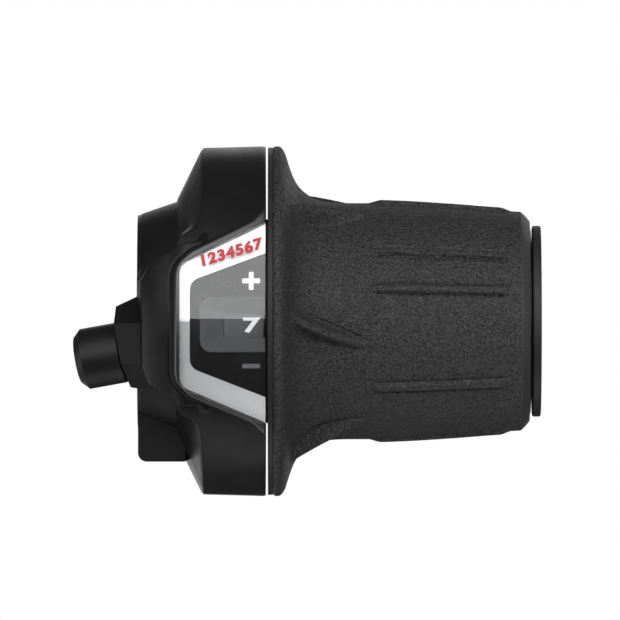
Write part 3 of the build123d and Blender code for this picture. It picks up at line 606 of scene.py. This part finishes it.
def make_cover():
    """The drum's front half, from the parting line at the top round to the one below."""
    xs = np.concatenate([
        np.linspace(POD_LEFT, -1.5, 16), np.arange(-1.4, 8.4, 0.12), np.arange(8.5, DRUM_END, 0.2),
        [DRUM_END]])
    angles = np.radians(np.concatenate([
        np.arange(-90.0, -40, 0.8), np.arange(-40, 40.01, 0.32), np.arange(40.8, 90.1, 0.8)]))
    # two columns more on each side carry the skin past the widest point to the parting line
    angles = np.concatenate([[-np.pi / 2] * 2, angles, [np.pi / 2] * 2])
    reach = np.arcsin(PARTING / np.interp(xs, *np.transpose(SHELL_LINE)))
    grid_x, grid_a = np.meshgrid(xs, angles, indexing="ij")
    for column, share in ((0, 1.0), (1, 0.5), (-2, 0.5), (-1, 1.0)):
        grid_a[:, column] += (1 if column < 0 else -1) * share * reach
    radius = cover_radius(grid_x, grid_a)
    # a first row closes the left end, down to the collar
    grid_x = np.vstack([grid_x[:1], grid_x])
    grid_a = np.vstack([grid_a[:1], grid_a])
    radius = np.vstack([np.full((1, radius.shape[1]), COLLAR_COVERED_R), radius])
    z = radius * np.sin(grid_a)
    vertices = np.stack([grid_x, -radius * np.cos(grid_a), z], axis=-1).reshape(-1, 3)
    rows, columns = radius.shape
    faces = [[i * columns + j, (i + 1) * columns + j, (i + 1) * columns + j + 1, i * columns + j + 1]
             for i in range(rows - 1) for j in range(columns - 1)]
    cover = new_object("cover_skin", vertices, faces)
    turn_faces(cover, towards_viewer=True)
    bm = bmesh.new()
    bm.from_mesh(cover.data)
    window = fan(*WINDOW, radius=WINDOW_CORNER, grow=-BEZEL_OVERLAP, end=DRUM_END + 4)
    trim(bm, rounded_outline(window))
    rim = [edge for edge in bm.edges if edge.is_boundary]
    wall = bmesh.ops.extrude_edge_only(bm, edges=rim)["geom"]
    for vertex in wall:
        if isinstance(vertex, bmesh.types.BMVert):
            inward = Vector((0, -vertex.co.y, -vertex.co.z)).normalized()
            vertex.co += inward * WALL_DEPTH * MM
    bm.to_mesh(cover.data)
    bm.free()
    coat(cover, "cover", "bezel")
    for polygon in cover.data.polygons:
        x, y, z = polygon.center / MM
        if math.hypot(y - POD_AXIS, z) > BEZEL_LOW and y < 0:
            polygon.material_index = 1
    shade(cover, 32)
    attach(cover, "housing")
    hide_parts("front_cover")


make_cover()


# ---- printed marks ----------------------------------------------------------------------------------
PLATE_R = 32.7
LENS_R = 33.9
INK = 0.05
INK_THICK = 0.03


def on_pod(x, z, radius):
    """A point on a cylinder about the pod's axis."""
    return (x, POD_AXIS - math.sqrt(radius ** 2 - z ** 2), z)


def on_dial(x, height, elevation):
    """A point on the dial, a little above or below an elevation angle."""
    angle = math.radians(elevation) + height / DIAL_R
    reach = DIAL_R + INK
    return (x, -reach * math.cos(angle), reach * math.sin(angle))


def glyph(text, size, weight=0.05):
    """Flat vertices and faces of a numeral, centred, in the font that comes with the program."""
    curve = bpy.data.curves.new("glyph", "FONT")
    curve.body = text
    curve.size = size
    curve.align_x = "CENTER"
    curve.resolution_u = 6
    curve.offset = weight * size
    holder = bpy.data.objects.new("glyph", curve)
    bpy.context.collection.objects.link(holder)
    bpy.context.view_layer.update()
    mesh = bpy.data.meshes.new_from_object(holder.evaluated_get(bpy.context.evaluated_depsgraph_get()))
    vertices = [(v.co.x, v.co.y) for v in mesh.vertices]
    faces = [list(p.vertices) for p in mesh.polygons]
    bpy.data.objects.remove(holder)
    middle = (max(v[1] for v in vertices) + min(v[1] for v in vertices)) / 2
    return [(u, v - middle) for u, v in vertices], faces


def rectangle(width, height):
    """Flat vertices and face of a bar."""
    return [(-width / 2, -height / 2), (width / 2, -height / 2),
            (width / 2, height / 2), (-width / 2, height / 2)], [[0, 1, 2, 3]]


def cross(size, stroke):
    """Flat vertices and faces of a plus sign."""
    a, b = size / 2, stroke / 2
    vertices = [
        (-b, -b), (b, -b), (b, b), (-b, b), (-a, -b), (-a, b), (a, -b), (a, b),
        (-b, -a), (b, -a), (-b, a), (b, a)]
    return vertices, [[0, 1, 2, 3], [4, 0, 3, 5], [1, 6, 7, 2], [8, 9, 1, 0], [3, 2, 11, 10]]


def mark(name, shape, place, ink, body):
    """A printed mark: a flat shape laid on a curved face by a place(u, v) rule."""
    vertices, faces = shape
    made = new_object(name, [place(u, v) for u, v in vertices], faces)
    turn_faces(made, towards_viewer=True)
    thicken(made, INK_THICK, 1.0)
    coat(made, ink)
    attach(made, body)


# each: left, top, bottom, corner radius, y
POCKET_MOUTH = (6.24, 3.72, -4.84, 1.75, -27.3)
POCKET_FLOOR = (9.86, 1.29, -2.64, 0.5, -24.95)
POCKET_END = 16.45
POCKET_GAP = 0.07
POCKET_WALL = 0.05


def pocket_edge(share):
    """The pocket's outline at a share of the way from its mouth to its floor."""
    left, top, bottom, corner, depth = [a + (b - a) * share for a, b in zip(POCKET_MOUTH, POCKET_FLOOR)]
    corners = [(POCKET_END, top - POCKET_GAP, 0), (left + POCKET_GAP, top - POCKET_GAP, corner),
               (left + POCKET_GAP, bottom + POCKET_GAP, corner), (POCKET_END, bottom + POCKET_GAP, 0)]
    return [(x, depth, z) for x, z in rounded_outline(corners, steps=10)]


def make_pocket():
    """The sloping walls between the panel's face and the dial."""
    rows = [pocket_edge(share) for share in (0.0, 0.03, 0.08, 0.3, 0.6, 0.95, 1.0)]
    rows[0] = [on_pod(x, z, PLATE_R + 0.02) for x, _, z in rows[0]]
    count = len(rows[0])
    vertices = [point for row in rows for point in row]
    faces = [[i * count + j, i * count + j + 1, (i + 1) * count + j + 1, (i + 1) * count + j]
             for i in range(len(rows) - 1) for j in range(count - 1)]
    pocket = new_object("pocket_walls", vertices, faces)
    turn_faces(pocket, towards_viewer=True)
    thicken(pocket, POCKET_WALL, 0.0)
    coat(pocket, "smoke")
    shade(pocket, 40)
    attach(pocket, "housing")


GEARS = 7
CLICK = 12.0
TOP_GEAR_ELEVATION = -1.4
NUMERAL_X = 14.25
NUMERAL_SIZE = 3.1
NUMERAL_STRETCH = 1.7


def make_numerals():
    """Gear numbers round the dial, the highest one in the window at rest."""
    for gear in range(1, GEARS + 1):
        elevation = TOP_GEAR_ELEVATION + (GEARS - gear) * CLICK
        mark(f"numeral_{gear}", glyph(str(gear), NUMERAL_SIZE, 0.03),
             lambda u, v, e=elevation: on_dial(NUMERAL_X + u * NUMERAL_STRETCH, v, e),
             "white", "twist_grip")


SIGN_X = 14.3
PLUS_Z = 6.24
MINUS_Z = -6.9
SIGN_WIDTH = 2.75


def make_signs():
    """Plus and minus on the panel above and below the recess."""
    mark("sign_plus", cross(SIGN_WIDTH, 0.72),
         lambda u, v: on_pod(SIGN_X + u, PLUS_Z + v, PLATE_R + INK), "white", "housing")
    mark("sign_minus", rectangle(SIGN_WIDTH, 0.66),
         lambda u, v: on_pod(SIGN_X + u, MINUS_Z + v, PLATE_R + INK), "grey", "housing")


SCALE_CENTRE = (11.05, 10.75)
SCALE_LEAN = math.radians(16.5)
SCALE_STEP = 1.47
SCALE_SIZE = 2.3


def on_band(u, v, along):
    """A point of a numeral that stands some way along the surround's upper band."""
    s = along + u * 1.15 + v * 0.12
    x = SCALE_CENTRE[0] + s * math.cos(SCALE_LEAN) - v * math.sin(SCALE_LEAN)
    z = SCALE_CENTRE[1] + s * math.sin(SCALE_LEAN) + v * math.cos(SCALE_LEAN)
    return on_pod(x, z, LENS_R + 0.01)


def make_scale():
    """A red row of numerals along the surround's upper band, leaning with it."""
    for i in range(GEARS):
        start = -4.4 + i * SCALE_STEP
        mark(f"scale_{i + 1}", glyph(str(i + 1), SCALE_SIZE),
             lambda u, v, along=start: on_band(u, v, along), "red", "housing")


make_pocket()
make_numerals()
make_signs()
make_scale()


# ---- stage, light and camera ---------------------------------------------------------------------
VIEW_WIDTH = 97.43 * MM
VIEW_CENTRE = Vector((23.45, 0, 1.76)) * MM
LENS = 1000.0
SENSOR = 36.0
FLOOR_Z = -600.0
FLOOR_HALF = 20000.0
KEY_REACH = 0.60
KEY_TOP = 0.80
KEY_EDGE_ELEVATION = 1.35
# the two colours and the result among a mix node's sockets
MIX_FIRST = 6
MIX_SECOND = 7
MIX_RESULT = 2


def area_light(name, place, aim, size, energy):
    """A soft rectangular light, unseen itself."""
    data = bpy.data.lights.new(name, "AREA")
    data.shape = "RECTANGLE"
    data.size = size[0]
    data.size_y = size[1]
    data.energy = energy
    light = bpy.data.objects.new(name, data)
    light.location = place
    light.rotation_euler = (Vector(aim) - Vector(place)).to_track_quat("-Z", "Y").to_euler()
    light.visible_camera = False
    bpy.context.collection.objects.link(light)


def make_stage():
    """A plain pale floor and a white surround that lights the part only faintly."""
    corners = [(sx * FLOOR_HALF, sy * FLOOR_HALF, 0) for sx, sy in ((-1, -1), (1, -1), (1, 1), (-1, 1))]
    floor = new_object("floor", corners, [[0, 1, 2, 3]])
    floor.location.z = FLOOR_Z * MM
    paper = Finish("white_paper", (0.15, 0.15, 0.15), 0.9)
    paper.shader.inputs["Emission Color"].default_value = (1, 1, 1, 1)
    seen = paper.add("ShaderNodeLightPath")
    paper.link(seen.outputs["Is Camera Ray"], paper.shader.inputs["Emission Strength"])
    paper.bump(paper.noise(300.0, 2.0), 0.02, 0.0002)
    floor.data.materials.append(paper.material)
    world = bpy.data.worlds.new("studio")
    bpy.context.scene.world = world
    world.use_nodes = True
    tree = world.node_tree
    background = tree.nodes["Background"]
    paths = tree.nodes.new("ShaderNodeLightPath")
    mix = tree.nodes.new("ShaderNodeMix")
    mix.data_type = "RGBA"
    mix.inputs[MIX_FIRST].default_value = (0.15, 0.15, 0.155, 1)
    mix.inputs[MIX_SECOND].default_value = (1, 1, 1, 1)
    tree.links.new(paths.outputs["Is Camera Ray"], mix.inputs[0])
    tree.links.new(mix.outputs[MIX_RESULT], background.inputs["Color"])
    background.inputs["Strength"].default_value = 1.0


def make_lights():
    """A main softbox in front, its lower edge just above the window's middle, and five fills."""
    low = KEY_REACH * math.tan(math.radians(KEY_EDGE_ELEVATION))
    middle = (low + KEY_TOP) / 2
    area_light("key", (0.02, -KEY_REACH, middle), (0.02, 0, middle), (1.1, KEY_TOP - low), 12.4)
    area_light("left", (-0.75, -0.15, -0.22), (0, 0, 0), (0.8, 0.6), 5.0)
    area_light("right", (0.75, -0.3, 0.1), (0.02, 0, 0), (0.5, 0.8), 3.0)
    area_light("low", (0.02, -0.04, -0.45), (0.02, 0, -0.01), (0.9, 0.35), 1.8)
    area_light("back", (0.38, 0.9, 0.2), (0.38, 0, 0.2), (1.2, 0.8), 3.0)
    area_light("rim", (-0.55, 0.9, -0.3), (-0.1, 0, 0), (0.7, 0.4), 1.0)


def make_camera():
    """A very long lens, square on to the bar's axis."""
    data = bpy.data.cameras.new("camera")
    data.lens = LENS
    data.sensor_width = SENSOR
    data.clip_end = 50.0
    data.clip_start = 0.1
    camera = bpy.data.objects.new("camera", data)
    distance = VIEW_WIDTH / SENSOR * LENS
    camera.location = VIEW_CENTRE + Vector((0, -distance, 0))
    camera.rotation_euler = (math.radians(90), 0, 0)
    bpy.context.collection.objects.link(camera)
    bpy.context.scene.camera = camera


make_stage()
make_lights()
make_camera()
bpy.context.scene.view_settings.view_transform = "Standard"
